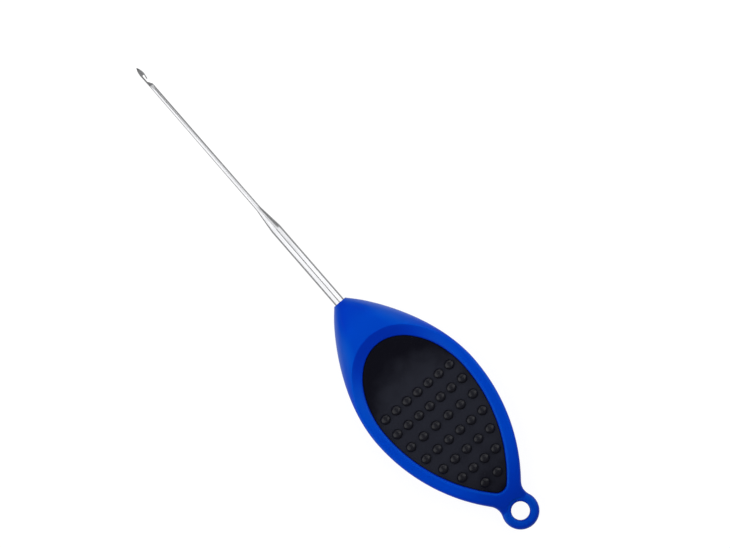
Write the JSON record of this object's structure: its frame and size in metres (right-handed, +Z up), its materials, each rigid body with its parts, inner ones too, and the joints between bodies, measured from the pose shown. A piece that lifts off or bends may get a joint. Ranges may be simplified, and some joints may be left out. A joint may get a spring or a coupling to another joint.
{
  "type": "hooked needle",
  "caption": "Hooked steel needle with a spear point and open barb, moulded into a leaf-shaped plastic pinch handle with dished rubber thumb pads on both faces and a lanyard eye.",
  "frame": {"origin": "under the middle of the whole tool's length and width, on the surface that the handle's rim rests on", "axes": "+X along the needle towards its point, +Z up through the handle's thickness, -Y the side that the hook opens to"},
  "size_m": [0.1358, 0.029, 0.0096],
  "materials": {
    "polished_steel": "polished",
    "blue_plastic": "satin moulded",
    "black_rubber": "matt, with round nubs"
  },
  "bodies": {
    "root": {"needle": "polished_steel", "handle_body": "blue_plastic", "upper_grip_pad": "black_rubber", "lower_grip_pad": "black_rubber"}
  },
  "joints": []
}
